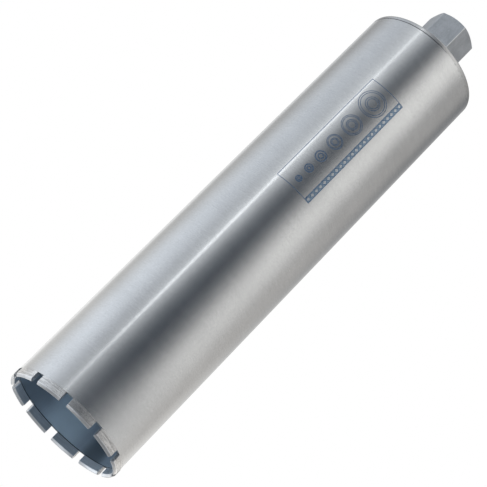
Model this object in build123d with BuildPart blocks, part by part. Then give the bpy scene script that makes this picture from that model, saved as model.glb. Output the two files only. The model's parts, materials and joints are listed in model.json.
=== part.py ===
"""Diamond core bit for wet drilling, standing on its cutting crown.

A thin steel barrel carries a ring of sintered diamond segments on its rim and is closed at the
other end by a turned plate. A hexagonal drive hub, bored right through for the flushing water,
is let into the plate and held by a fillet weld round its turned foot.

Z is the axis that the bit turns about and points from the crown to the hub. The origin lies on
that axis, in the plane of the cutting faces. X points square to a flat of the hub, and a gap
between two segments lies nearly under the hub's corner on the -Y side.
All lengths are in millimetres and all angles in degrees.
"""

import os
from math import cos, degrees, radians, tan

from build123d import *

# Crown
cut_diameter = 112.0  # over the segments, which is the size of the hole that the bit drills
segment_count = 11
segment_length = 24.0  # round the middle of the segment's thickness
segment_thickness = 3.5
segment_height = 8.5
segment_crest_height = 1.8  # of the two bevels that narrow the cutting face like a roof
segment_crest_inset = 1.2  # of each bevel, on the radius
gap_direction = -88.6  # where one gap between segments faces, from the X axis

# Barrel
barrel_wall = 2.5
outer_kerf = 0.5  # how far the segments stand out past the barrel
drilling_length = 452.0  # from the cutting faces to the seam below the end plate
seam_bevel = 0.3  # on the barrel and on the plate, so that the seam is a fine groove

# End plate
plate_thickness = 4.0  # of the rim that shows
plate_edge_radius = 1.2
register_depth = 4.0  # of the step that centres the plate in the barrel
register_clearance = 0.05

# Drive hub
hub_sides = 6
hub_across_flats = 41.0
hub_height = 50.0  # above the end plate
hub_corner_radius = 0.8
hub_foot_diameter = 40.0  # turned round, so that the weld is a plain ring
hub_foot_height = 8.0
hub_land_diameter = 39.0  # of the flat ring left by the chamfer on the free end
hub_chamfer_angle = 30.0
hub_shank_diameter = 36.0
hub_shank_lead = 0.8  # bevel that leads the shank into the plate
shank_clearance = 0.05
thread_core_diameter = 28.0  # bore for a 1 1/4 in - 7 UNC thread
thread_major_diameter = 31.75
mouth_relief = 1.2  # how far the countersink clears the thread, on the radius
mouth_angle = 90.0

# Weld
weld_leg = 4.5

# Sizes that follow
cut_radius = cut_diameter / 2
barrel_radius = cut_radius - outer_kerf
bore_radius = barrel_radius - barrel_wall
register_radius = bore_radius - register_clearance
segment_inner_radius = cut_radius - segment_thickness
segment_middle_radius = cut_radius - segment_thickness / 2
segment_angle = degrees(segment_length / segment_middle_radius)
segment_pitch = 360.0 / segment_count
plate_top = drilling_length + plate_thickness
plate_bottom = drilling_length - register_depth
hub_top = plate_top + hub_height
shank_radius = hub_shank_diameter / 2
seat_radius = shank_radius + shank_clearance
hub_land_radius = hub_land_diameter / 2
hub_foot_radius = hub_foot_diameter / 2
hub_foot_top = plate_top + hub_foot_height
hub_corner_turn = 180.0 / hub_sides  # from the middle of a flat to the next corner
hub_corner_reach = hub_across_flats / 2 / cos(radians(hub_corner_turn))
chamfer_slope = tan(radians(hub_chamfer_angle))

os.makedirs("parts", exist_ok=True)

# Segments: each is the block's upright section, carried round the axis through the block's length
for number in range(segment_count):
    middle = gap_direction + (number + 0.5) * segment_pitch
    with BuildPart() as segment:
        with BuildSketch(Plane.XZ.rotated((0, 0, middle - segment_angle / 2))):
            with BuildLine():
                Polyline(
                    (segment_inner_radius, segment_height),
                    (segment_inner_radius, segment_crest_height),
                    (segment_inner_radius + segment_crest_inset, 0),
                    (cut_radius - segment_crest_inset, 0),
                    (cut_radius, segment_crest_height),
                    (cut_radius, segment_height),
                    close=True,
                )
            make_face()
        revolve(axis=Axis.Z, revolution_arc=segment_angle)
    name = f"segment_{number + 1:02d}"
    segment.part.label = name
    export_step(segment.part, f"parts/{name}.step")

# Barrel: a length of tube that starts where the segments end
with BuildPart() as barrel:
    with BuildSketch(Plane.XY.offset(segment_height)):
        Circle(barrel_radius)
        Circle(bore_radius, mode=Mode.SUBTRACT)
    extrude(amount=drilling_length - segment_height)
    hub_end = barrel.faces().sort_by(Axis.Z)[-1]
    chamfer(hub_end.edges().sort_by(SortBy.RADIUS)[-1], length=seam_bevel)
barrel.part.label = "barrel"
export_step(barrel.part, "parts/barrel.step")

# End plate: turned from a disc, with a step below that fits the barrel and a hole for the hub
with BuildPart() as end_plate:
    with BuildSketch(Plane.XZ) as plate_section:
        with BuildLine():
            Polyline(
                (seat_radius, plate_bottom),
                (register_radius, plate_bottom),
                (register_radius, drilling_length),
                (barrel_radius, drilling_length),
                (barrel_radius, plate_top),
                (seat_radius, plate_top),
                close=True,
            )
        make_face()
        seam_corner = plate_section.vertices().group_by(Axis.X)[-1].sort_by(Axis.Y)[0]
        chamfer(seam_corner, length=seam_bevel)
        outer_corner = plate_section.vertices().group_by(Axis.Y)[-1].sort_by(Axis.X)[-1]
        fillet(outer_corner, radius=plate_edge_radius)
    revolve(axis=Axis.Z)
end_plate.part.label = "end_plate"
export_step(end_plate.part, "parts/end_plate.step")

# Drive hub: hexagon bar, turned to a round foot and shank below and chamfered at both ends
with BuildPart() as drive_hub:
    with BuildSketch(Plane.XZ):
        with BuildLine():
            Polyline(
                (0, plate_top),
                (hub_foot_radius, plate_top),
                (hub_foot_radius, hub_foot_top),
                (hub_corner_reach, hub_foot_top + (hub_corner_reach - hub_foot_radius) * chamfer_slope),
                (hub_corner_reach, hub_top - (hub_corner_reach - hub_land_radius) * chamfer_slope),
                (hub_land_radius, hub_top),
                (0, hub_top),
                close=True,
            )
        make_face()
    revolve(axis=Axis.Z)
    with BuildSketch(Plane.XY.offset(plate_top)) as hexagon:
        RegularPolygon(hub_across_flats / 2, hub_sides, major_radius=False, rotation=hub_corner_turn)
        fillet(hexagon.vertices(), radius=hub_corner_radius)
    extrude(amount=hub_height, mode=Mode.INTERSECT)
    with BuildSketch(Plane.XY.offset(plate_bottom)):
        Circle(shank_radius)
    extrude(amount=plate_top - plate_bottom)
    shank_end = drive_hub.faces().sort_by(Axis.Z)[0]
    chamfer(shank_end.edges(), length=hub_shank_lead)
    with Locations((0, 0, hub_top)):
        CounterSinkHole(
            radius=thread_core_diameter / 2,
            counter_sink_radius=thread_major_diameter / 2 + mouth_relief,
            counter_sink_angle=mouth_angle,
        )
drive_hub.part.label = "drive_hub"
export_step(drive_hub.part, "parts/drive_hub.step")

# Hub weld: a ring in the corner between the hub's foot and the plate
with BuildPart() as hub_weld:
    with BuildSketch(Plane.XZ):
        with BuildLine():
            Polyline(
                (hub_foot_radius, plate_top),
                (hub_foot_radius + weld_leg, plate_top),
                (hub_foot_radius, plate_top + weld_leg),
                close=True,
            )
        make_face()
    revolve(axis=Axis.Z)
hub_weld.part.label = "hub_weld"
export_step(hub_weld.part, "parts/hub_weld.step")
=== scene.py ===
# %% [markdown]
# # A diamond core bit and its looks
#
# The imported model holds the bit's solids at their real size: a thin barrel, its end plate, the hexagonal
# drive hub, the weld round the hub and a ring of eleven segments. Here each solid gets a finer skin with
# rounded edges and the finish that it has in the workshop. The skins are made in the frame's own metres,
# so nothing has to be fitted afterwards.

# %% Load the frame
import json
import math

import bpy
import numpy as np
from mathutils import Matrix, Vector


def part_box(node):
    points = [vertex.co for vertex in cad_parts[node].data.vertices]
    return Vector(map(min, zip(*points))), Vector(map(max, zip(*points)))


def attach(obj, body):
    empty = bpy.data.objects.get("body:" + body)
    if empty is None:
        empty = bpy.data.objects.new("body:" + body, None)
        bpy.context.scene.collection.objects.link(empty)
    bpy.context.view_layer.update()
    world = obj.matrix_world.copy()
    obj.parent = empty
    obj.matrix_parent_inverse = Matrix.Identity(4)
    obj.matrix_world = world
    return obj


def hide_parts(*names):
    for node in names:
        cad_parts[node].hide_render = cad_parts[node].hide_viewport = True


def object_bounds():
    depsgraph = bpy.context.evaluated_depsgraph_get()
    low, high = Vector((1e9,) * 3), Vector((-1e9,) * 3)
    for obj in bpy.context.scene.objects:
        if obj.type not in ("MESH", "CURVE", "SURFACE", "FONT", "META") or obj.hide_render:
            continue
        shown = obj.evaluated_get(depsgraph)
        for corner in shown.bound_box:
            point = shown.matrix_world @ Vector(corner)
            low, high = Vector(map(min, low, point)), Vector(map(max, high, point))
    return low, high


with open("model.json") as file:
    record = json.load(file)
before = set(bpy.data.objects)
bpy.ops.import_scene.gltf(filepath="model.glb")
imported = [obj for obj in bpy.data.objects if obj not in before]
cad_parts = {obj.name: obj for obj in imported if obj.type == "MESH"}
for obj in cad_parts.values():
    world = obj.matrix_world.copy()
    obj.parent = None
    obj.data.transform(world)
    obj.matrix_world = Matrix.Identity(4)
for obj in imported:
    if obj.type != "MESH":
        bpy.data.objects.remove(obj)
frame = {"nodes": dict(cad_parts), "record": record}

cad_low, cad_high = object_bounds()
cad_size = [round(1000 * (high - low), 2) for low, high in zip(cad_low, cad_high)]
print("solids", len(frame["nodes"]), "box in mm", cad_size)

# %% [markdown]
# ## Sizes
#
# Whatever the solids can tell is read from their boxes, so the skins follow them if a size changes. Only
# what no box shows, such as the walls and the small edge breaks, is written here.

# %% Sizes that the solids give
MM = 0.001
MICRON = MM / 1000
barrel_low, barrel_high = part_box("barrel")
plate_low, plate_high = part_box("end_plate")
hub_low, hub_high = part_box("drive_hub")
weld_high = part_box("hub_weld")[1]
segment_nodes = sorted(name for name in frame["nodes"] if name.startswith("segment_"))
segment_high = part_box(segment_nodes[len(segment_nodes) // 2])[1]  # this one lies across +Y

barrel_radius = barrel_high.x
cut_radius = segment_high.y
crown_height = barrel_low.z          # where the segments end and the tube begins
seam_height = barrel_high.z          # where the tube meets the plate
plate_top = plate_high.z
hub_top = hub_high.z
hub_flat = hub_high.x                # from the axis to a flat
weld_leg = weld_high.z - plate_top
hub_foot_radius = weld_high.x - weld_leg
print("barrel radius", round(barrel_radius / MM, 2), "seam at", round(seam_height / MM, 2), "mm")

# %% Sizes that no box shows
barrel_wall = 2.5 * MM
segment_thickness = 3.5 * MM
segment_length = 24.0 * MM           # round the middle of its thickness
crest_height = 1.8 * MM              # of the two bevels that narrow a segment's cutting face
crest_inset = 1.2 * MM               # of each bevel, on the radius
shank_radius = 18.0 * MM             # of the hub's shank in the plate
fit_clearance = 0.05 * MM            # round the shank, and round the plate's step in the barrel
foot_height = 8.0 * MM               # of the hub's turned foot
land_radius = 19.5 * MM              # of the flat ring on the hub's end
chamfer_slope = math.tan(math.radians(30.0))
gap_direction = math.radians(-88.6)  # where one gap between segments faces

bore_radius = barrel_radius - barrel_wall
register_radius = bore_radius - fit_clearance
seat_radius = shank_radius + fit_clearance
segment_middle = cut_radius - segment_thickness / 2
segment_pitch = 2 * math.pi / len(segment_nodes)
segment_half = segment_length / segment_middle / 2   # half its angle round the axis
print("segments", len(segment_nodes), "every", round(math.degrees(segment_pitch), 2), "degrees")

# %% [markdown]
# ## The camera
#
# The bit is seen from in front of its crown and a little below it, with its axis running up to the right.
# The place was found by fitting the crown's circle, the barrel's two edges and the hub's corners. Pan and
# tilt say where the camera looks, and the roll turns the picture.


# %% Camera
def placed(name, data):
    """A new object for the data, in the scene."""
    made = bpy.data.objects.new(name, data)
    bpy.context.scene.collection.objects.link(made)
    return made


camera_place = Vector((0.94800, -0.88029, -0.32404))
camera_pan = math.radians(137.121)
camera_tilt = math.radians(22.732)
camera_roll = math.radians(44.676)
camera_heading = math.atan2(camera_place.y, camera_place.x)  # seen from the bit's axis

camera_data = bpy.data.cameras.new("camera")
camera_data.sensor_width = 36.0
camera_data.lens = 125.28
camera = placed("camera", camera_data)
look = Vector((math.cos(camera_pan) * math.cos(camera_tilt), math.sin(camera_pan) * math.cos(camera_tilt),
               math.sin(camera_tilt)))
turn = look.to_track_quat("-Z", "Y").to_matrix().to_4x4() @ Matrix.Rotation(camera_roll, 4, "Z")
camera.matrix_world = Matrix.Translation(camera_place) @ turn
bpy.context.scene.camera = camera
print("camera heading", round(math.degrees(camera_heading), 2), "degrees")

# %% [markdown]
# ## Outlines with rounded corners
#
# No edge on a real piece is perfectly sharp, and the light that a rounded edge catches is what makes steel
# look real. So each outline is drawn with its corners and then every corner is replaced by a small arc.
# Doing it to the outline, instead of bevelling the mesh later, keeps the surface a plain grid.


# %% Rounding helper
def unit(vectors):
    """Vectors over their own length."""
    return vectors / np.linalg.norm(vectors, axis=-1, keepdims=True)


def rounded(corners, radii, steps=4):
    """A closed outline with each corner replaced by an arc that touches both its sides.

    The arc's centre lies on the line that halves the corner, at radius / sin(half the corner's angle).
    Its points are spread evenly over the turn. corners is (..., corner, 2), and radii fits (..., corner).
    """
    back = unit(np.roll(corners, 1, axis=-2) - corners)
    ahead = unit(np.roll(corners, -1, axis=-2) - corners)
    half = np.arccos(np.clip((back * ahead).sum(-1), -1, 1)) / 2
    radii = np.broadcast_to(radii, half.shape)
    centre = corners + unit(back + ahead) * (radii / np.sin(half))[..., None]
    start = corners + back * (radii / np.tan(half))[..., None] - centre
    end = corners + ahead * (radii / np.tan(half))[..., None] - centre
    sweep = np.pi - 2 * half
    share = np.linspace(0, 1, steps + 1)
    first = np.sin((1 - share) * sweep[..., None]) / np.sin(sweep)[..., None]
    last = np.sin(share * sweep[..., None]) / np.sin(sweep)[..., None]
    arcs = centre[..., None, :] + first[..., None] * start[..., None, :] + last[..., None] * end[..., None, :]
    return arcs.reshape(*corners.shape[:-2], -1, 2)


square = rounded(np.array([[0, 0], [1, 0], [1, 1], [0, 1.0]]), 0.2)
print("a square gets", len(square), "points")

# %% [markdown]
# ## From a grid of points to a mesh
#
# A turned piece is an outline in the plane of radius and height, carried round the axis. Here the outline
# may differ at every angle, which also gives a hexagon, a thread and the ripples of a weld. The grid closes
# on itself both ways, so there are no poles. If the mesh comes out inside out, the faces are turned over.


# %% Mesh helpers
def around(outlines, angles):
    """Points (radius cos a, radius sin a, height) for outlines (angle, point, 2) at the angles a."""
    outlines = np.broadcast_to(outlines, (len(angles), *outlines.shape[-2:]))
    radius, height = outlines[..., 0], outlines[..., 1]
    angle = angles[:, None]
    return np.stack([radius * np.cos(angle), radius * np.sin(angle), height], axis=-1)


def enclosed(points, faces):
    """The volume inside: a sixth of the sum of a . (b x c) over the triangles of the faces."""
    a, b, c, d = (points[faces[:, k]] for k in range(4))
    return (np.einsum("ij,ij->", a, np.cross(b, c)) + np.einsum("ij,ij->", a, np.cross(c, d))) / 6


def grid_faces(rows, columns, rows_close=True):
    """Four-sided faces between neighbouring points of a grid whose columns close on themselves."""
    index = np.arange(rows * columns).reshape(rows, columns)
    here = index if rows_close else index[:-1]
    there = np.roll(index, -1, axis=0) if rows_close else index[1:]
    corners = [here, there, np.roll(there, -1, axis=1), np.roll(here, -1, axis=1)]
    return np.stack(corners, axis=-1).reshape(-1, 4)


def closed_grid(outlines, angles):
    """Points and faces for outlines that are carried all the way round the axis."""
    return around(outlines, angles).reshape(-1, 3), grid_faces(len(angles), outlines.shape[1])


def skin(name, points, faces, node, finishes, which=None):
    """A mesh object that stands for a CAD node: its points, its faces turned outwards and its finishes."""
    if enclosed(points, faces) < 0:
        faces = faces[:, ::-1]
    mesh = bpy.data.meshes.new(name)
    mesh.from_pydata(points.tolist(), [], [list(dict.fromkeys(face)) for face in faces.tolist()])
    mesh.polygons.foreach_set("use_smooth", np.ones(len(faces), bool))
    for finish in finishes:
        mesh.materials.append(finish)
    if which is not None:
        mesh.polygons.foreach_set("material_index", which.astype(np.int32))
    mesh.update()
    made = placed(name, mesh)
    normals = made.modifiers.new("even_shading", "WEIGHTED_NORMAL")
    normals.weight = 100
    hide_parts(node)
    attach(made, "root")


# %% [markdown]
# ## Node helpers
#
# Every finish is a small network of nodes. Each of these helpers adds a node or a few and returns what comes
# out, so that a finish reads like a formula. Patterns read Object coordinates: the pieces' objects stay at
# the origin, so those are metres in the bit's own frame.


# %% Node helpers
def feed(tree, node, inputs):
    """Set a node's inputs to numbers or colours, or link them to what comes out of other nodes."""
    for place, value in inputs.items():
        if isinstance(value, bpy.types.NodeSocket):
            tree.links.new(value, node.inputs[place])
        else:
            node.inputs[place].default_value = value


def step(tree, kind, inputs, **settings):
    """Add a node, set its properties and feed its inputs."""
    made = tree.nodes.new(kind)
    for key, value in settings.items():
        setattr(made, key, value)
    feed(tree, made, inputs)
    return made


def maths(tree, operation, *values):
    """One step of arithmetic on single numbers."""
    return step(tree, "ShaderNodeMath", dict(enumerate(values)), operation=operation).outputs[0]


def times(tree, first, second):
    """The product of two numbers."""
    return maths(tree, "MULTIPLY", first, second)


def rest(tree, share):
    """What a share leaves of 1."""
    return maths(tree, "SUBTRACT", 1.0, share)


def vector(tree, operation, *values):
    """One step of arithmetic on vectors. A dot product, a length or a distance is a single number."""
    made = step(tree, "ShaderNodeVectorMath", dict(enumerate(values)), operation=operation)
    return made.outputs["Value" if operation in ("DOT_PRODUCT", "LENGTH", "DISTANCE") else "Vector"]


def remap(tree, value, low, high, to_low=0.0, to_high=1.0, shape="SMOOTHSTEP"):
    """Turn the span low..high into to_low..to_high, clamped, with a smooth or straight course."""
    inputs = {"Value": value, "From Min": low, "From Max": high, "To Min": to_low, "To Max": to_high}
    return step(tree, "ShaderNodeMapRange", inputs, interpolation_type=shape).outputs["Result"]


def close_to(tree, value, middle, full, gone):
    """1 where the value is within full of the middle, fading to 0 where it is further off than gone."""
    off = maths(tree, "ABSOLUTE", maths(tree, "SUBTRACT", value, middle))
    return remap(tree, off, gone, full)


def weighted(tree, *terms):
    """The sum of some values, each times its weight. A term is a value and its weight."""
    total = times(tree, *terms[0])
    for term in terms[1:]:
        total = maths(tree, "ADD", total, times(tree, *term))
    return total


def blend(tree, factor, first, second):
    """A colour between first and second."""
    made = step(tree, "ShaderNodeMix", {}, data_type="RGBA")
    number = {socket.identifier: k for k, socket in enumerate(made.inputs)}
    feed(tree, made, {number["Factor_Float"]: factor, number["A_Color"]: first, number["B_Color"]: second})
    return next(socket for socket in made.outputs if socket.identifier == "Result_Color")


def noise(tree, coordinates, scale, detail=2.0, roughness=0.5):
    """Smooth noise between 0 and 1. scale is in lumps per metre, or a triple for lumps along each axis."""
    if isinstance(scale, tuple):
        coordinates, scale = vector(tree, "MULTIPLY", coordinates, scale), 1.0
    inputs = {"Vector": coordinates, "Scale": scale, "Detail": detail, "Roughness": roughness}
    return step(tree, "ShaderNodeTexNoise", inputs).outputs["Fac"]


def bumped(tree, relief, depth):
    """Surface directions, tilted as if the surface stood up by relief times depth, in metres."""
    return step(tree, "ShaderNodeBump", {"Height": relief, "Distance": depth, "Strength": 1.0}).outputs[0]


def new_material(name):
    """An empty material and its node tree."""
    made = bpy.data.materials.new(name)
    made.use_nodes = True
    made.node_tree.nodes.clear()
    return made, made.node_tree


def new_finish(name):
    """A metal's material: its node tree, its shader and the object coordinates."""
    made, tree = new_material(name)
    shader = step(tree, "ShaderNodeBsdfPrincipled", {"Metallic": 1.0})
    step(tree, "ShaderNodeOutputMaterial", {"Surface": shader.outputs[0]})
    coordinates = step(tree, "ShaderNodeTexCoord", {}).outputs["Object"]
    return made, tree, shader, coordinates


def grey(value, cool=0.0):
    """A grey with a little more blue and less red when cool is above 0, and warmer below 0."""
    return (value * (1 - cool), value, value * (1 + cool), 1.0)


print("a cool grey is", grey(0.5, 0.02))

# %% [markdown]
# The patterns keep asking where a place lies: how high, how far from the axis or at which angle round it.
# Each answer is a little vector arithmetic, which is written once here.


# %% Place helpers
axis = (0.0, 0.0, 1.0)


def facing(angle):
    """The level direction at that angle from +X, of length 1."""
    return (math.cos(angle), math.sin(angle), 0.0)


def height_of(tree, place):
    """How high a place is: its dot product with the axis."""
    return vector(tree, "DOT_PRODUCT", place, axis)


def level(tree, place):
    """A place or a direction without its part along the axis."""
    return vector(tree, "MULTIPLY", place, (1.0, 1.0, 0.0))


def from_axis(tree, place):
    """How far a place is from the axis: the length of its level part."""
    return vector(tree, "LENGTH", level(tree, place))


def toward(tree, place, angle):
    """The cosine of the angle round the axis between a place and the direction facing(angle)."""
    return vector(tree, "DOT_PRODUCT", vector(tree, "NORMALIZE", level(tree, place)), facing(angle))


def angle_from(tree, place, start):
    """The angle round the axis from start to a place: the arc tangent of its parts aside and ahead."""
    ahead = vector(tree, "DOT_PRODUCT", place, facing(start))
    aside = vector(tree, "DOT_PRODUCT", place, facing(start + math.pi / 2))
    return maths(tree, "ARCTAN2", aside, ahead)


def round_the_axis(tree, place):
    """The direction that a tool's mark runs in on a turning piece: the axis crossed with the place."""
    return vector(tree, "CROSS_PRODUCT", axis, place)


print("a quarter turn from +X faces", [round(part, 3) for part in facing(math.pi / 2)])

# %% [markdown]
# ## Ground steel
#
# The tube is ground while it turns, so the finest scratches run round it. Such a surface spreads light
# along the axis and hardly at all round it, and that draws the long bands on the barrel. An anisotropic
# reflection does this without any scratch being modelled. Its direction is the way round the axis, which
# is the cross product of the axis and the place. On top come faint lines round the barrel, a fine grain and
# the short hairs that a grinding belt leaves.


# %% Steel helper
hair_depth = 20.0                    # in microns, of the hairs
quarter_turn = 0.25                  # turns a shader's streak from along the tangent to across it


def seam_shade_and_specks(tree, place):
    """Where the seam's groove is painted dark as painted shade: 1 in the groove and 0 elsewhere.

    It is a narrow window over the height, less the stretch round the barrel where the seam is ground flush.
    Only a few specks are left there, where noise is high.
    """
    height = height_of(tree, place)
    groove = close_to(tree, height, seam_height, 0.22 * MM, 0.50 * MM)
    beside = close_to(tree, height, seam_height, 0.9 * MM, 1.4 * MM)
    flush_edge = math.cos(flush_half + flush_fade)
    flush = remap(tree, toward(tree, place, flush_middle), flush_edge, math.cos(flush_half))
    specks = remap(tree, noise(tree, place, (330.0, 330.0, 900.0), 1.0), 0.61, 0.68)
    open_groove = times(tree, groove, rest(tree, flush))
    left_specks = times(tree, times(tree, beside, specks), 0.6)
    return maths(tree, "MAXIMUM", open_groove, left_specks)


def turned_steel(name, colour, roughness, streak):
    """Steel with tool marks round the axis. streak is how much longer the reflection is across the marks.

    The tint goes from 0.95 to 1.05 of the colour with the marks and soft patches, and the hairs are darker
    or lighter. The seam's groove is painted nearly black as painted shade, and the plate's upper edge is
    painted a darker grey as painted shade. Near the crown the steel is worn rougher.
    """
    made, tree, shader, place = new_finish(name)
    height = height_of(tree, place)
    fine = noise(tree, place, (90.0, 90.0, 2600.0), 3.0, 0.6)
    broad = noise(tree, place, (10.0, 10.0, 300.0), 2.0)
    grain = noise(tree, place, 2400.0, 2.0)
    patches = noise(tree, place, 26.0, 3.0)
    hairs = noise(tree, place, (420.0, 420.0, 1500.0), 2.0, 0.7)
    marks = weighted(tree, (fine, 0.85), (broad, 0.15))
    shade = weighted(tree, (marks, 0.6), (patches, 0.4))
    low, high = (tuple(share * part for part in colour[:3]) + (1.0,) for share in (0.95, 1.05))
    tint = blend(tree, remap(tree, shade, 0.35, 0.65), low, high)
    tint = blend(tree, remap(tree, hairs, 0.54, 0.68, 0.0, 0.18), tint, grey(0.40))
    tint = blend(tree, remap(tree, hairs, 0.44, 0.32, 0.0, 0.18), tint, grey(0.84))
    # Painted shade: the seam's groove is painted nearly black, with a few dark specks beside the flush
    # stretch.
    seam_darkening = times(tree, seam_shade_and_specks(tree, place), 0.85)
    tint = blend(tree, seam_darkening, tint, (0.05, 0.055, 0.065, 1.0))
    # Painted shade: the plate's rounded upper edge is painted a darker grey, dimming the highlight it
    # catches.
    edge = remap(tree, height, plate_top - 1.3 * MM, plate_top - 0.6 * MM)
    dull = remap(tree, marks, 0.3, 0.7, roughness * 0.95, roughness * 1.06, "LINEAR")
    worn = remap(tree, height, crown_height, crown_height + 80 * MM, 1.2, 1.0)
    relief = weighted(tree, (hairs, hair_depth), (marks, 0.8), (grain, 0.4))
    feed(tree, shader, {
        "Base Color": blend(tree, edge, tint, grey(0.36, 0.02)),
        "Roughness": times(tree, dull, worn),
        "Anisotropic": streak,
        "Anisotropic Rotation": quarter_turn,
        "Tangent": round_the_axis(tree, place),
        "Normal": bumped(tree, relief, MICRON),
    })
    return made


flush_middle = math.radians(9.0)     # the middle of the stretch where the seam is ground flush
flush_half = math.radians(43.0)      # half its length round the barrel
flush_fade = math.radians(8.0)       # over which the groove opens again
barrel_finish = turned_steel("ground_barrel", grey(0.62, 0.015), 0.21, 0.85)
plate_finish = turned_steel("turned_plate", grey(0.56, 0.01), 0.24, 0.84)
print("finishes", [m.name for m in bpy.data.materials])

# %% [markdown]
# ## The etched panel
#
# A panel is etched on the barrel. It holds a plain design here: a fine edge, rings in thin lines that grow
# like core sizes, and a blue border with lozenges left bright. Each line is worked out from a distance. The
# distance from a rectangle or a ring is a short formula in the flat coordinates of the panel, along the axis
# and round the barrel, and a line is drawn wherever that distance is small. Where the etching has left its
# dark oxide the surface no longer shines like metal, so the finish is less metallic there.

# %% Etched panel
panel_facing = math.radians(-46.0)
panel_height = 322.7 * MM
panel_half_round = 17.5 * MM
panel_half_long = 62.2 * MM
line_width = 0.52 * MM
soft = 0.12 * MM                     # to each side of an edge, where it fades
border_width = 4.6 * MM
lozenge_pitch = 5.2 * MM
lozenge = (border_width / 2.4, lozenge_pitch / 2.3)   # its half sizes across the border and along it
dark_oxide, pale_oxide = (0.03, 0.11, 0.24, 1.0), (0.13, 0.25, 0.38, 1.0)
ring_shares = (1.0, 0.86, 0.52, 0.38)
ring_sizes = 2.8 * MM * 1.342 ** np.arange(6)    # radii: each ring is about a third larger than the last
ring_gap = 2 * (panel_half_long - ring_sizes.sum()) / (len(ring_sizes) + 1)
ring_places = ring_gap * np.arange(1, len(ring_sizes) + 1) + 2 * np.cumsum(ring_sizes) - ring_sizes
ring_places -= panel_half_long
print("rings at", np.round(ring_places / MM, 1), "mm along the panel")


def panel_coordinates(tree, place):
    """Flat coordinates from the panel's middle: radius times angle on the way round, and height along it."""
    across = times(tree, angle_from(tree, place, panel_facing), barrel_radius)
    return across, maths(tree, "SUBTRACT", height_of(tree, place), panel_height)


def oblong(tree, across, along, middle, half):
    """Distance outside an oblong, negative inside: the greater of the two overhangs."""
    over = [maths(tree, "SUBTRACT", maths(tree, "ABSOLUTE", maths(tree, "SUBTRACT", value, m)), h)
            for value, m, h in zip((across, along), middle, half)]
    return maths(tree, "MAXIMUM", *over)


def stroke(tree, distance):
    """1 on a line where the distance is zero, and 0 further off than half the line's width."""
    return close_to(tree, distance, 0.0, line_width / 2 - soft, line_width / 2 + soft)


def ring_lines(tree, across, along):
    """Thin circles round each ring's centre, at the shares of its radius that ring_shares gives.

    The centres lie in a row in the middle of the room that the border leaves.
    """
    lines = 0.0
    for where, radius in zip(ring_places.tolist(), ring_sizes.tolist()):
        offsets = [maths(tree, "ADD", across, border_width / 2), maths(tree, "SUBTRACT", along, where)]
        squares = [times(tree, value, value) for value in offsets]
        reach = maths(tree, "SQRT", maths(tree, "ADD", *squares))
        for share in ring_shares:
            drawn = stroke(tree, maths(tree, "SUBTRACT", reach, share * radius))
            lines = maths(tree, "MAXIMUM", lines, drawn)
    return lines


def border(tree, across, along):
    """A band along one edge with a row of lozenges: its lines, and how much each place is filled.

    A lozenge is where |x| / a + |y| / b is under 1, for x and y from its own middle and its half sizes.
    """
    middle = panel_half_round - border_width / 2
    band = oblong(tree, across, along, (middle, 0.0), (border_width / 2, panel_half_long))
    phase = maths(tree, "SUBTRACT", maths(tree, "FLOORED_MODULO", along, lozenge_pitch), lozenge_pitch / 2)
    offsets = (maths(tree, "SUBTRACT", across, middle), phase)
    reach = weighted(tree, *[(maths(tree, "ABSOLUTE", off), 1 / half) for off, half in zip(offsets, lozenge)])
    inside = remap(tree, band, soft, -soft)
    outline = close_to(tree, reach, 1.0, 0.08, 0.22)
    lines = maths(tree, "MAXIMUM", stroke(tree, band), times(tree, inside, outline))
    return lines, times(tree, inside, remap(tree, reach, 0.92, 1.08, 0.3, 1.0))


def etched(made):
    """Draw the panel over a finish: dark lines, and a paler oxide tone in the border round the lozenges."""
    tree = made.node_tree
    shader = next(n for n in tree.nodes if n.type == "BSDF_PRINCIPLED")
    place = next(n for n in tree.nodes if n.type == "TEX_COORD").outputs["Object"]
    across, along = panel_coordinates(tree, place)
    edge = oblong(tree, across, along, (0.0, 0.0), (panel_half_round, panel_half_long))
    lines, fill = border(tree, across, along)
    for more in (ring_lines(tree, across, along), stroke(tree, edge)):
        lines = maths(tree, "MAXIMUM", lines, more)
    uneven = remap(tree, noise(tree, place, 1100.0, 2.0), 0.3, 0.6, 0.75, 1.0)
    bare = shader.inputs["Base Color"].links[0].from_socket
    filled = blend(tree, times(tree, fill, 0.75), bare, pale_oxide)
    drawn = blend(tree, times(tree, lines, uneven), filled, dark_oxide)
    oxide = maths(tree, "MAXIMUM", lines, times(tree, fill, 0.45))
    metal = rest(tree, times(tree, oxide, 0.85))
    feed(tree, shader, {"Base Color": drawn, "Metallic": metal})


etched(barrel_finish)
print("panel", round(2 * panel_half_long / MM, 1), "by", round(2 * panel_half_round / MM, 1), "mm")

# %% [markdown]
# ## The inside of the tube
#
# Nothing grinds the inside, so it keeps the dull blue-grey skin that the tube was rolled with. It is rough
# and dark, and only the light that comes in past the crown reaches it. That light is painted on as a pale
# strip along the tube, with painted shade in darker strips on both sides of it and on the rim.


# %% Inside finish
joint_shade_dark = (0.012, 0.016, 0.022, 1.0)
# Painted light and shade on the inside: one pale strip and two darker strips round the tube.
light_and_shade_strips = (   # where each strip faces and how far it reaches to each side, in degrees, and its colour
    (137.0, 25.0, (0.68, 0.86, 1.00, 1.0)),
    (97.0, 15.5, (0.16, 0.21, 0.26, 1.0)),
    (183.0, 24.0, (0.29, 0.37, 0.45, 1.0)),
)


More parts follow.
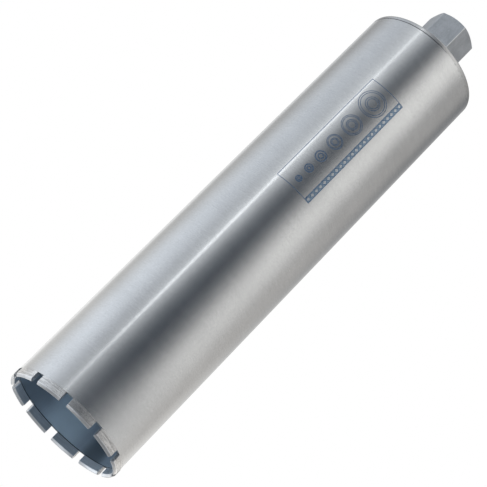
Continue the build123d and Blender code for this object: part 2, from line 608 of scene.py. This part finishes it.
def joint_shade_line(tree, place):
    """Painted shade at the welded joint, seen from inside: a dark line where the rim meets a segment, and
    none in the gaps.

    cos(count * (angle - gap direction)) is 1 in the middle of each gap and -1 in the middle of each segment,
    so one threshold on it marks all the segments at once.
    """
    line = close_to(tree, height_of(tree, place), crown_height - 0.1 * MM, 0.25 * MM, 0.5 * MM)
    inner = remap(tree, from_axis(tree, place), bore_radius + 0.5 * MM, bore_radius + 0.2 * MM)
    turns = times(tree, angle_from(tree, place, gap_direction), float(len(segment_nodes)))
    edge = math.cos(len(segment_nodes) * (segment_pitch / 2 - segment_half))
    met = remap(tree, maths(tree, "COSINE", turns), edge + 0.04, edge - 0.04)
    return times(tree, times(tree, line, inner), met)


def mill_skin():
    """Dull rolled steel: blue-grey, soft patches, a faint grain along the tube and painted light and shade.
    """
    made, tree, shader, place = new_finish("rolled_inside")
    patches = noise(tree, place, 38.0, 3.0)
    drawn = noise(tree, place, (700.0, 700.0, 24.0), 2.0)
    shade = weighted(tree, (patches, 0.7), (drawn, 0.3))
    tint = blend(tree, remap(tree, shade, 0.3, 0.7), (0.34, 0.44, 0.54, 1), (0.44, 0.55, 0.66, 1))
    # Painted light and shade: each strip is painted round the direction it faces.
    for middle, half, colour in light_and_shade_strips:
        strip = remap(tree, toward(tree, place, math.radians(middle)), math.cos(math.radians(half)), 1.0)
        tint = blend(tree, strip, tint, colour)
    # Painted shade: the rim and the wall just above it are painted darker.
    rim = remap(tree, height_of(tree, place), crown_height + 0.4 * MM, crown_height + 0.15 * MM)
    tint = blend(tree, rim, tint, (0.12, 0.155, 0.19, 1.0))
    # Painted shade: the dark line at the joint with the segments.
    tint = blend(tree, joint_shade_line(tree, place), tint, joint_shade_dark)
    normal = bumped(tree, drawn, 4 * MICRON)
    feed(tree, shader, {"Base Color": tint, "Metallic": 0.5, "Roughness": 0.48, "Normal": normal})
    return made


inside_finish = mill_skin()
print("inside finish", inside_finish.name)

# %% [markdown]
# ## The barrel
#
# A length of tube whose cut rim shows between the segments. Its upper outer edge is bevelled, and so is the
# plate's: together they make the fine groove of the seam, whose dark line is painted shade in the steel's
# finish. On one side the seam has been ground flush, so the bevel fades out there. Inside and outside are
# one mesh with two finishes.


# %% Barrel
seam_bevel = 0.3 * MM
flush_bevel = 0.02 * MM
ring = np.linspace(0, 2 * np.pi, 360, endpoint=False)   # a step for each degree


def seam_radius(angles):
    """The rounding at the seam: seam_bevel, fading smoothly to flush_bevel where the seam is ground flush."""
    off = np.abs((angles - flush_middle + np.pi) % (2 * np.pi) - np.pi)
    share = np.clip((off - flush_half) / flush_fade, 0, 1)
    return flush_bevel + (seam_bevel - flush_bevel) * share * share * (3 - 2 * share)


def ring_outlines(corners, breaks, seam_corner, steps=4):
    """Outlines at every angle of ring. breaks, in mm, round the corners, and seam_radius the seam's own."""
    radii = np.tile(np.array(breaks) * MM, (len(ring), 1))
    radii[:, seam_corner] = seam_radius(ring)
    return rounded(np.broadcast_to(corners, (*radii.shape, 2)), radii, steps)


corners = [(bore_radius, crown_height), (barrel_radius, crown_height),
           (barrel_radius, seam_height), (bore_radius, seam_height)]
outlines = ring_outlines(corners, breaks=[0.15, 0.15, 0.0, 0.1], seam_corner=2)
points, faces = closed_grid(outlines, ring)
middles = points[faces].mean(axis=1)
is_rim = middles[:, 2] < crown_height + 0.2 * MM
is_inside = (np.hypot(middles[:, 0], middles[:, 1]) < bore_radius + 0.3 * MM) | is_rim
skin("barrel_tube", points, faces, "barrel", [barrel_finish, inside_finish], is_inside)

# %% [markdown]
# ## The end plate
#
# A disc turned on a lathe, with a step below that centres it in the tube and a hole for the hub. Its outer
# edge is well rounded. The part of its rim above the seam is a few millimetres wide and shows as a lighter
# band beyond the dark line.


# %% End plate
corners = [(seat_radius, plate_low.z), (register_radius, plate_low.z), (register_radius, seam_height),
           (barrel_radius, seam_height), (barrel_radius, plate_top), (seat_radius, plate_top)]
outlines = ring_outlines(corners, breaks=[0.2, 0.3, 0.1, 0.0, 1.2, 0.15], seam_corner=3, steps=6)
skin("plate_disc", *closed_grid(outlines, ring), "end_plate", [plate_finish])

# %% [markdown]
# ## The drive hub
#
# Hexagon bar, turned round below for the weld and chamfered at both ends. A cone cuts a hexagon in curved
# lines, and a grid only shows them cleanly if it follows them. So the outline is worked out afresh at each
# angle: the corner where the cone meets the hexagon lies higher where the hexagon reaches further out.


# %% Hub outline
corner_round = 0.8 * MM
corner_step = math.radians(60.0)
to_corner = corner_step / 2


def hexagon_reach(angles):
    """Distance from the axis to a hexagon with rounded corners and a flat facing +X.

    On a flat it is the flat's distance over the cosine of the angle from the flat's middle. Round a corner it
    is where the ray meets a circle of the corner's rounding, centred on the line through the corner.
    """
    from_flat = np.abs((angles + to_corner) % corner_step - to_corner)
    on_flat = hub_flat / np.cos(from_flat)
    centre = (hub_flat - corner_round) / math.cos(to_corner)
    from_corner = to_corner - from_flat
    across = np.minimum(centre * np.sin(from_corner), corner_round)
    on_corner = centre * np.cos(from_corner) + np.sqrt(corner_round ** 2 - across ** 2)
    rounding_starts = math.atan((hub_flat - corner_round) * math.tan(to_corner) / hub_flat)
    return np.where(from_flat < rounding_starts, on_flat, on_corner)


corner_zone = 1.1                    # degrees to each side of a corner in which the lines lie closer
near_corner = np.linspace(-corner_zone, corner_zone, 13)
corner_lines = np.radians(np.add.outer(np.arange(30.0, 390.0, 60.0), near_corner)).ravel()
even_lines = np.linspace(0, 2 * np.pi, 240, endpoint=False)
clear = np.abs(even_lines % corner_step - to_corner) > math.radians(corner_zone + 0.2)
hub_angles = np.sort(np.concatenate([even_lines[clear], corner_lines]))
reach = hexagon_reach(hub_angles)
print("hexagon from", round(reach.min() / MM, 3), "to", round(reach.max() / MM, 3), "mm")

# %% [markdown]
# ### The thread
#
# The bore holds a 1 1/4 inch thread, seven turns to the inch, right-handed. A thread is a ridge whose
# height depends only on the phase: how far up the bore, in pitches, less how far round, in turns. Taking
# the bore's radius from that phase at every point of the grid gives the whole helix at once.

# %% Thread in the bore
inch = 25.4 * MM
pitch = inch / 7
thread_major = 1.25 * inch / 2
spindle = next(mount for mount in frame["record"]["mounts"] if mount["name"] == "spindle_thread")
thread_minor = spindle["dims"]["r_mm"] * MM
crest_share, root_share = 0.25, 0.125   # of a pitch, flat at the crest and at the root
rows_per_pitch = 16


def thread_radius(angles, heights):
    """Bore radius: the minor radius on the crest, the major in the root, straight 60 degree flanks between.

    The phase is height / pitch - angle / (one turn), and only its distance from the nearest whole number
    counts: a root is there, and a crest is half a pitch away.
    """
    phase = heights[None, :] / pitch - angles[:, None] / (2 * np.pi)
    distance = np.abs((phase + 0.5) % 1.0 - 0.5)
    flank = np.clip((distance - root_share / 2) / (0.5 - crest_share / 2 - root_share / 2), 0, 1)
    return thread_major + (thread_minor - thread_major) * flank


mouth_radius = thread_major + 1.2 * MM
entry_bevel = 0.6 * MM
rows = int((hub_top - hub_low.z) / pitch * rows_per_pitch)
heights = np.linspace(hub_top - 0.15 * MM, hub_low.z + 0.15 * MM, rows)
bore = thread_radius(hub_angles, heights)
bore = np.maximum(bore, mouth_radius - (hub_top - heights))                   # 90 degree countersink
bore = np.maximum(bore, thread_major + entry_bevel - (heights - hub_low.z))
bore_rows = np.stack([bore, np.broadcast_to(heights, bore.shape)], axis=-1)
print("bore rows", rows, "pitch", round(pitch / MM, 3), "mm")


# %% Hub skin
def hub_outline():
    """Outside of the hub at every angle, from the shank's end up to the mouth, as rounded corners.

    The hexagon's lower corner rises from the foot's edge by the cone's slope times how much further out it
    lies, and its upper corner falls from the end's flat ring in the same way.
    """
    foot_top = plate_top + foot_height
    lead = 0.8 * MM
    corners = [
        (thread_major + entry_bevel, hub_low.z),
        (shank_radius - lead, hub_low.z),
        (shank_radius, hub_low.z + lead),
        (shank_radius, plate_top),
        (hub_foot_radius, plate_top),
        (hub_foot_radius, foot_top),
        (reach, foot_top + (reach - hub_foot_radius) * chamfer_slope),
        (reach, hub_top - (reach - land_radius) * chamfer_slope),
        (land_radius, hub_top),
        (mouth_radius, hub_top),
    ]
    at_every_angle = [np.broadcast_arrays(*corner, reach)[:2] for corner in corners]
    return np.stack([np.stack(corner, axis=-1) for corner in at_every_angle], axis=1)


hub_breaks = np.array([0.1, 0.15, 0.15, 0.03, 0.03, 0.12, 0.15, 0.3, 0.25, 0.1]) * MM
outlines = np.concatenate([rounded(hub_outline(), hub_breaks, 3), bore_rows], axis=1)
print("hub grid", outlines.shape)

# %% [markdown]
# Bar steel is duller than ground tube. It keeps faint drawing lines along its flats, a speckle where the
# scale was pickled off and softened corners, so its colour is a mid grey and its reflection is broad. A
# painted highlight makes the corners pale, fully on two opposite corners and only a little on the others.


# %% Hub finish
def bar_steel():
    """Dull bar steel: lines along the axis, a fine speckle, small darker stains and painted corner
    highlights.

    cos(6 * angle) is 1 in the middle of each flat and -1 at each corner, so a threshold near -1 marks the
    corners, and a distance from the axis beyond the flats keeps them to the hexagon.
    """
    made, tree, shader, place = new_finish("bar_steel")
    drawn = noise(tree, place, (900.0, 900.0, 30.0), 3.0)
    speckle = noise(tree, place, 1500.0, 2.0)
    stains = noise(tree, place, 120.0, 4.0)
    shade = weighted(tree, (drawn, 0.15), (speckle, 0.55), (stains, 0.3))
    tint = blend(tree, remap(tree, shade, 0.32, 0.66), (0.355, 0.375, 0.400, 1), (0.530, 0.555, 0.590, 1))
    sixfold = maths(tree, "COSINE", times(tree, angle_from(tree, place, 0.0), 6.0))
    gone, full = (math.cos(6 * (to_corner - math.radians(off))) for off in (corner_zone, 0.5))
    hexagonal = remap(tree, from_axis(tree, place), hub_flat, hub_flat + 0.2 * MM)
    # Painted highlight: pale corners, full on the two opposite ones round -to_corner and a fifth as much
    # elsewhere.
    corner = times(tree, remap(tree, sixfold, gone, full), hexagonal)
    highlight_side = remap(tree, maths(tree, "ABSOLUTE", toward(tree, place, -to_corner)), 0.5, 0.9, 0.2, 1.0)
    feed(tree, shader, {
        "Base Color": blend(tree, times(tree, corner, highlight_side), tint, grey(0.86, 0.01)),
        "Roughness": remap(tree, speckle, 0.3, 0.7, 0.42, 0.54, "LINEAR"),
        "Normal": bumped(tree, weighted(tree, (drawn, 0.3), (speckle, 1.0)), 5 * MICRON),
    })
    return made


skin("hub_body", *closed_grid(outlines, hub_angles), "drive_hub", [bar_steel()])

# %% [markdown]
# ## The weld round the hub
#
# A bead laid in one pass stands a little proud of its flat face and has crescent ripples, one for each beat
# of the torch. The bulge is half a sine wave across the bead. The ripples are a sawtooth along it, and each
# one is bent back at its ends, because the metal freezes first at the edges.


# %% Weld bead
ripple_count = 96
steps_per_ripple = 10
bead_crown = 0.45 * MM
ripple_height = 0.14 * MM
ripple_bend = 0.9                    # how far a ripple's ends lag behind its middle, in ripples
ripple_rise = 0.125                  # the share of a ripple in which the sawtooth rises


def weld_outlines(angles, across):
    """The bead's face from its toe on the plate to its toe on the hub, at shares across of the way.

    It is the straight line between the toes, pushed out along its 45 degree normal by
    sin(pi * across) * (crown + ripple).
    """
    bend = ripple_bend * (2 * across - 1) ** 2
    phase = (angles[:, None] / (2 * np.pi) * ripple_count + bend) % 1.0
    ripple = ripple_height * (1 - phase) * np.minimum(1.0, phase / ripple_rise)
    lift = math.sqrt(0.5) * np.sin(np.pi * across) * (bead_crown + ripple)
    return np.stack([weld_high.x - weld_leg * across + lift, plate_top + weld_leg * across + lift], axis=-1)


weld_angles = np.linspace(0, 2 * np.pi, ripple_count * steps_per_ripple, endpoint=False)
across = (1 - np.cos(np.linspace(0, np.pi, 15))) / 2
face = weld_outlines(weld_angles, across)
root = np.broadcast_to([[hub_foot_radius, plate_top]], (len(weld_angles), 1, 2))
outlines = np.concatenate([face, root], axis=1)


def weld_steel():
    """Weld metal: darker than the bar, glossy on the ripples, with straw and blue heat tints."""
    made, tree, shader, place = new_finish("weld_bead")
    heat = noise(tree, place, 140.0, 3.0)
    soot = noise(tree, place, 900.0, 2.0)
    tint = blend(tree, remap(tree, heat, 0.35, 0.65), (0.33, 0.30, 0.25, 1), (0.26, 0.29, 0.34, 1))
    feed(tree, shader, {
        "Base Color": blend(tree, remap(tree, soot, 0.55, 0.75), tint, grey(0.14)),
        "Roughness": remap(tree, soot, 0.3, 0.7, 0.3, 0.5, "LINEAR"),
        "Normal": bumped(tree, soot, 12 * MICRON),
    })
    return made


skin("weld_bead", *closed_grid(outlines, weld_angles), "hub_weld", [weld_steel()])

# %% [markdown]
# ## The segments
#
# A segment is pressed from metal powder with diamond grit in it, sintered, welded on and dressed on a
# wheel. Its upright section is a rounded oblong that is carried round the axis. Near both ends the section
# shrinks along a quarter circle, which rounds the end edges too, and a fan closes each end.

# %% Segment shape
segment_inner = cut_radius - segment_thickness
end_round = 0.25 * MM
section_breaks = np.array([0.35, 0.35, 0.5, 0.12, 0.12, 0.5]) * MM   # at the section's corners


def segment_points(middle):
    """Grid of a segment: rings of its section at angles from end to end, each end rounded over.

    At a share q of the rounding, a quarter turn q * 90 degrees, the section is inset by round * (1 - cos)
    and the ring lies round * sin further towards the end.
    """
    corners = np.array([(segment_inner + crest_inset, 0.0), (cut_radius - crest_inset, 0.0),
                        (cut_radius, crest_height), (cut_radius, crown_height),
                        (segment_inner, crown_height), (segment_inner, crest_height)])
    section = rounded(corners, section_breaks)
    centre = corners.mean(axis=0)
    size = np.array([segment_thickness, crown_height]) / 2
    quarter = np.radians(np.linspace(0, 90, 5))
    along = end_round * (1 - np.sin(quarter)) / cut_radius
    inset = end_round * (1 - np.cos(quarter))
    straight = np.linspace(-1, 1, 40)[1:-1] * (segment_half - end_round / cut_radius)
    angles = np.concatenate([-segment_half + along[::-1], straight, segment_half - along])
    insets = np.concatenate([inset[::-1], np.zeros(len(straight)), inset])
    rings = centre + (section - centre) * (1 - insets[:, None, None] / size)
    return around(rings, middle + angles), centre


def fan(ring, tip):
    """Faces from each point of a closed ring to the next and to the tip, by the points' numbers."""
    tips = np.full_like(ring, tip)
    return np.stack([ring, np.roll(ring, -1), tips, tips], axis=1)


def segment_mesh(middle):
    """Points and faces of one segment, with a fan from each end's centre to its last ring."""
    rings, centre = segment_points(middle)
    count, around_section = rings.shape[:2]
    ends = [around(centre[None, None], np.array([middle + side * segment_half]))[0] for side in (-1, 1)]
    points = np.concatenate([rings.reshape(-1, 3), *ends])
    first = np.arange(around_section)
    last = first[::-1] + (count - 1) * around_section
    fans = [fan(first, len(points) - 2), fan(last, len(points) - 1)]
    return points, np.concatenate([grid_faces(count, around_section, rows_close=False), *fans])


print("segment", round(2 * math.degrees(segment_half), 2), "degrees long")

# %% [markdown]
# The dressed faces show long scratches round the crown, some bright and some dark, over a speckle of grit.
# The scratches are noise that is stretched round the axis, and the grit is a cell pattern: each cell gets
# its own brightness, and a few of them are cut into small pits.


# %% Segment finish
def sintered_metal():
    """Sintered and dressed metal: scratches round the crown, grit specks and a light speckled tone.

    The outer face is pale. The inner face is duller and painted a darker blue-grey as painted shade. Of the
    crest's two bevels the inner one is painted lighter as painted light and the outer one darker as painted
    shade, and a bright line is painted along the outer bevel's upper edge as a painted highlight.
    """
    made, tree, shader, place = new_finish("sintered_segment")
    scratches = noise(tree, place, (60.0, 60.0, 1700.0), 4.0, 0.7)
    coarse = noise(tree, place, (110.0, 110.0, 700.0), 3.0, 0.6)
    cells = step(tree, "ShaderNodeTexVoronoi", {"Vector": place, "Scale": 2200.0})
    grit = vector(tree, "DOT_PRODUCT", cells.outputs["Color"], (1.0, 0.0, 0.0))
    shade = weighted(tree, (scratches, 0.5), (coarse, 0.5))
    outer = blend(tree, remap(tree, shade, 0.38, 0.60), grey(0.45), grey(0.77))
    outer = blend(tree, remap(tree, grit, 0.75, 1.0, 0.0, 0.5), outer, grey(0.85))
    outer = blend(tree, remap(tree, grit, 0.22, 0.0, 0.0, 0.8), outer, grey(0.30))
    worn = remap(tree, shade, 0.36, 0.62)
    # Painted shade and light: the inner face darker blue-grey, the inner bevel lighter, the outer bevel
    # darker.
    inner = blend(tree, worn, (0.39, 0.46, 0.53, 1), (0.50, 0.58, 0.66, 1))
    lit_inner_bevel = blend(tree, worn, grey(0.64, 0.02), grey(0.82, 0.02))
    shaded_outer_bevel = blend(tree, worn, grey(0.44), grey(0.62))
    height, reach = height_of(tree, place), from_axis(tree, place)
    is_inner = remap(tree, reach, segment_middle, segment_inner + 0.3 * MM)
    is_outer = remap(tree, reach, segment_middle, segment_middle + 0.5 * MM)
    is_crest = remap(tree, height, crest_height + 0.1 * MM, crest_height - 0.25 * MM)
    tint = blend(tree, is_inner, outer, inner)
    tint = blend(tree, is_crest, tint, blend(tree, is_outer, lit_inner_bevel, shaded_outer_bevel))
    # Painted highlight: a bright line along the outer bevel's upper edge.
    edge = times(tree, close_to(tree, height, crest_height, 0.2 * MM, 0.5 * MM), is_outer)
    tint = blend(tree, times(tree, edge, 0.65), tint, grey(0.86, 0.02))
    dull_inside = times(tree, is_inner, rest(tree, is_crest))
    feed(tree, shader, {
        # Painted shade: the dark line where the rim meets the segment.
        "Base Color": blend(tree, joint_shade_line(tree, place), tint, joint_shade_dark),
        "Metallic": rest(tree, times(tree, dull_inside, 0.6)),
        "Roughness": remap(tree, shade, 0.35, 0.65, 0.37, 0.26, "LINEAR"),
        "Anisotropic": 0.8,
        "Anisotropic Rotation": quarter_turn,
        "Tangent": round_the_axis(tree, place),
        "Normal": bumped(tree, weighted(tree, (shade, 1.5), (grit, 1.0)), 15 * MICRON),
    })
    return made


segment_finish = sintered_metal()
for number, node in enumerate(segment_nodes):
    middle = gap_direction + (number + 0.5) * segment_pitch
    points, faces = segment_mesh(middle)
    skin(f"segment_block_{number + 1:02d}", points, faces, node, [segment_finish])

# %% [markdown]
# ## The floor
#
# The bit stands on its crown, and the camera looks up at it from below the floor. So the floor only shows
# from above: for a camera ray that meets its upper side it is a pale surface that holds the shadow, and
# every other ray passes through. A little of its own light makes it as white as the ground behind.

# %% Floor
floor_size = 6.0
floor_drop = 0.2 * MM                # below the crown, so that the two never share a plane
floor_glow = 0.375
floor_mesh = bpy.data.meshes.new("floor")
side = floor_size / 2 * np.array([(-1, -1), (1, -1), (1, 1), (-1, 1)])
floor_mesh.from_pydata([(x, y, cad_low.z - floor_drop) for x, y in side.tolist()], [], [(0, 1, 2, 3)])
floor = placed("floor", floor_mesh)

floor_material, floor_tree = new_material("floor")
paint = step(floor_tree, "ShaderNodeBsdfDiffuse", {"Color": grey(0.95)})
glow = step(floor_tree, "ShaderNodeEmission", {"Color": (1, 1, 1, 1), "Strength": floor_glow})
lit = step(floor_tree, "ShaderNodeAddShader", {0: paint.outputs[0], 1: glow.outputs[0]})
passed = step(floor_tree, "ShaderNodeBsdfTransparent", {})
from_camera = step(floor_tree, "ShaderNodeLightPath", {}).outputs["Is Camera Ray"]
below = step(floor_tree, "ShaderNodeNewGeometry", {}).outputs["Backfacing"]
shown = times(floor_tree, from_camera, rest(floor_tree, below))
chosen = step(floor_tree, "ShaderNodeMixShader", {0: shown, 1: passed.outputs[0], 2: lit.outputs[0]})
step(floor_tree, "ShaderNodeOutputMaterial", {"Surface": chosen.outputs[0]})
floor_mesh.materials.append(floor_material)
print("floor", floor_size, "m")

# %% [markdown]
# ## Light
#
# Polished and ground steel has hardly a colour of its own: it shows the room. In a studio that is a ring of
# soft boxes with dark gaps between them. They are far away and only their direction counts, so they are
# drawn into the world: each box is a smooth window over the heading, and it may lean, so that its edge lies
# further round the higher the direction points. The camera itself sees plain white.

# %% World
world = bpy.data.worlds.new("studio")
bpy.context.scene.world = world
world.use_nodes = True
sky = world.node_tree
sky.nodes.clear()
direction = step(sky, "ShaderNodeTexCoord", {}).outputs["Generated"]
heading = maths(sky, "DEGREES", angle_from(sky, direction, camera_heading))
rise = height_of(sky, direction)
side_rise = 0.42                      # about 25 degrees up, which is what the barrel's middle shows
climb = remap(sky, rise, 0.15, 0.60)  # 0 for low directions, 1 for steep ones


def between(low, high):
    """A number that goes from low to high as the direction climbs."""
    return maths(sky, "ADD", low, times(sky, climb, high - low))


def scaled(colour, factor):
    """A colour times a single number, as a vector."""
    made = step(sky, "ShaderNodeVectorMath", {0: colour, "Scale": factor}, operation="SCALE")
    return made.outputs["Vector"]


def soft_box(middle, half, edge, low, high, lean, tint):
    """A window of light round its middle heading, which fades from half - edge to half + edge degrees off it.

    Its strength is low near the floor and high further up. lean moves it round by that many degrees for each
    unit of rise above side_rise. Headings are counted from the camera's, and the difference is wrapped.
    """
    moved = maths(sky, "ADD", middle, times(sky, lean, maths(sky, "SUBTRACT", rise, side_rise)))
    apart = maths(sky, "SUBTRACT", heading, moved)
    wrapped = maths(sky, "FLOORED_MODULO", maths(sky, "ADD", apart, 540.0), 360.0)   # 180 at the middle
    window = close_to(sky, wrapped, 180.0, half - edge, half + edge)
    return scaled(tint, times(sky, window, between(low, high)))


cool, plain, warm, warmer = (0.96, 1.0, 1.05), (0.98, 1.0, 1.01), (1.03, 1.0, 0.95), (1.06, 1.0, 0.92)
tube_shade = remap(sky, rise, 0.285, 0.365)   # the tube is screened from low directions
boxes = [
    soft_box(-91.0, 24.5, 25.0, 1.16, 0.55, -17.5, cool),     # large box on the left
    soft_box(-44.0, 16.0, 34.0, 0.28, 1.22, -12.0, plain),    # box above the camera's left
    soft_box(54.0, 24.0, 12.5, 0.76, 1.35, -121.5, warm),     # large box on the right, leaning in
    soft_box(107.0, 26.0, 20.0, 0.66, 0.39, -79.0, warmer),   # its spill further round
    soft_box(-163.0, 54.0, 27.0, 0.83, 0.31, 12.0, warm),     # wide box behind
    soft_box(-159.0, 6.0, 8.0, 0.39, 0.50, -1.0, plain),      # narrow lamp behind
]
tube = soft_box(-41.0, 1.3, 2.0, 7.00, -0.30, -16.0, plain)      # bare tube, which draws the bright line
trough = soft_box(-39.5, 10.0, 12.0, 1.45, -0.12, -16.0, plain)  # white trough that the tube hangs in
boxes.append(scaled(vector(sky, "ADD", tube, trough), tube_shade))
light = (0.036, 0.050, 0.070)         # of the dark gaps between the boxes
for box in boxes:
    light = vector(sky, "ADD", light, box)

# %% [markdown]
# Below the horizon the boxes give way to the ground. It is pale where the large box on the left lights it and
# darker on the right, with one more pale patch to the left of the camera, so steel that faces down is never
# black. Straight up the light is even.

# %% Ground and zenith
ground_share = remap(sky, rise, -0.06, -0.30)
lit_side = camera_heading + math.radians(-125.0)
patch_side = camera_heading + math.radians(-26.0)
patch_middle = tuple(0.62 * part for part in facing(patch_side))   # the level part of the way to the patch
ground_tone = remap(sky, vector(sky, "DOT_PRODUCT", direction, facing(lit_side)), 0.40, 0.90, 0.38, 1.30)
patch = remap(sky, vector(sky, "DISTANCE", level(sky, direction), patch_middle), 0.45, 0.0, 0.0, 0.75)
ground_tone = maths(sky, "ADD", ground_tone, patch)
light = vector(sky, "ADD", scaled(light, rest(sky, ground_share)),
               scaled(cool, times(sky, ground_share, ground_tone)))
steepness = remap(sky, rise, 0.80, 0.98)
light = blend(sky, steepness, light, grey(0.85))
room = step(sky, "ShaderNodeBackground", {"Color": light, "Strength": 1.0})
white = step(sky, "ShaderNodeBackground", {"Color": (1, 1, 1, 1), "Strength": 1.0})
is_camera = step(sky, "ShaderNodeLightPath", {}).outputs["Is Camera Ray"]
seen = step(sky, "ShaderNodeMixShader", {0: is_camera, 1: room.outputs[0], 2: white.outputs[0]})
step(sky, "ShaderNodeOutputWorld", {"Surface": seen.outputs[0]})
print("soft boxes", len(boxes))

# %% [markdown]
# ## Finish
#
# Colours are to come out as they are written, so the picture is shown with the plain Standard transform.

# %% Finish
bpy.context.scene.view_settings.view_transform = "Standard"
